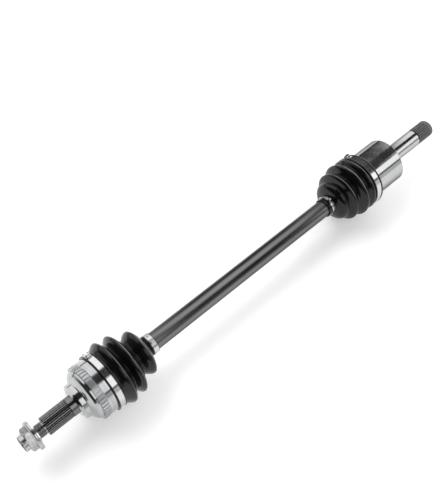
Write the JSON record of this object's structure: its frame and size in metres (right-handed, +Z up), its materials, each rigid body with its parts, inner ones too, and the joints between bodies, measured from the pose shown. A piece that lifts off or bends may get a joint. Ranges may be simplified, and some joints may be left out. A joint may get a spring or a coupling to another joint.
{
  "type": "cv axle",
  "caption": "Front drive axle: a fixed ball joint with splined wheel stub and nut, a bar, and a plunging tripod joint with a polished stub, each joint in a rubber bellows.",
  "frame": {"origin": "on the axle's axis, in the shoulder face that seats against the wheel hub", "axes": "+X along the axle from the wheel end to the gearbox end, +Z up, +Y across"},
  "size_m": [0.8113, 0.096, 0.096],
  "materials": {
    "forged_steel": "machined steel with ground bands",
    "ring_steel": "stamped steel",
    "zinc_nut": "zinc-plated, satin",
    "washer_steel": "bright turned steel",
    "race_steel": "hardened and ground",
    "cage_steel": "phosphated",
    "spring_steel": "oiled spring steel",
    "boot_rubber": "smooth, slightly glossy",
    "clamp_steel": "bright stainless band",
    "bar_paint": "satin dark grey paint",
    "machined_steel": "finely turned and polished",
    "ball_steel": "polished bearing steel"
  },
  "bodies": {
    "outer_joint": {"outer_joint_housing": "forged_steel", "tone_ring": "ring_steel", "outer_boot": "boot_rubber", "outer_boot_large_clamp": "clamp_steel"},
    "washer": {"nut_washer": "washer_steel"},
    "nut": {"axle_nut": "zinc_nut"},
    "cage": {"ball_cage": "cage_steel", "ball_1": "ball_steel", "ball_2": "ball_steel", "ball_3": "ball_steel", "ball_4": "ball_steel", "ball_5": "ball_steel", "ball_6": "ball_steel"},
    "bar": {"axle_shaft": "bar_paint", "inner_race": "race_steel", "race_circlip": "spring_steel", "spider_stop_ring": "spring_steel", "spider_circlip": "spring_steel", "tripod_spider": "race_steel", "roller_needles_1": "ball_steel", "roller_needles_2": "ball_steel", "roller_needles_3": "ball_steel", "roller_clip_1": "spring_steel", "roller_clip_2": "spring_steel", "roller_clip_3": "spring_steel", "outer_boot_small_clamp": "clamp_steel", "inner_boot": "boot_rubber", "inner_boot_small_clamp": "clamp_steel"},
    "roller_2_body": {"roller_2": "ball_steel"},
    "roller_3_body": {"roller_3": "ball_steel"},
    "roller_1_body": {"roller_1": "ball_steel"},
    "inner_joint": {"tripod_housing": "machined_steel", "inner_boot_large_clamp": "clamp_steel", "stub_circlip": "spring_steel"}
  },
  "joints": [
    {"name": "outer_joint_angle", "type": "hinge", "parent": "outer_joint", "child": "bar", "pos_m": [0.033, 0, 0], "axis": [0, 0, 1], "range_deg": [-35, 35], "deforming": ["outer_boot"]},
    {"name": "cage_angle", "type": "hinge", "parent": "outer_joint", "child": "cage", "pos_m": [0.033, 0, 0], "axis": [0, 0, 1], "range_deg": [-17.5, 17.5]},
    {"name": "nut_travel", "type": "slide", "parent": "outer_joint", "child": "washer", "axis": [-1, 0, 0], "range_m": [-0.0075, 0.0075]},
    {"name": "nut_turn", "type": "hinge", "parent": "washer", "child": "nut", "pos_m": [-0.07, 0, 0], "axis": [-1, 0, 0], "range_deg": [-1800, 1800]},
    {"name": "inner_joint_angle", "type": "hinge", "parent": "bar", "child": "roller_1_body", "pos_m": [0.58, 0, 0], "axis": [0, 0, 1], "range_deg": [-14, 14], "deforming": ["inner_boot"]},
    {"name": "roller_2_spin", "type": "hinge", "parent": "bar", "child": "roller_2_body", "pos_m": [0.58, 0, 0], "axis": [0, -0.866, -0.5], "continuous": true},
    {"name": "roller_3_spin", "type": "hinge", "parent": "bar", "child": "roller_3_body", "pos_m": [0.58, 0, 0], "axis": [0, 0.866, -0.5], "continuous": true},
    {"name": "plunge", "type": "slide", "parent": "roller_1_body", "child": "inner_joint", "axis": [1, 0, 0], "range_m": [-0.012, 0.018]}
  ],
  "couplings": [
    {"joint": "cage_angle", "follows": "outer_joint_angle", "ratio": 0.5},
    {"joint": "nut_travel", "follows": "nut_turn", "m_per_rad": 0.00023873}
  ]
}
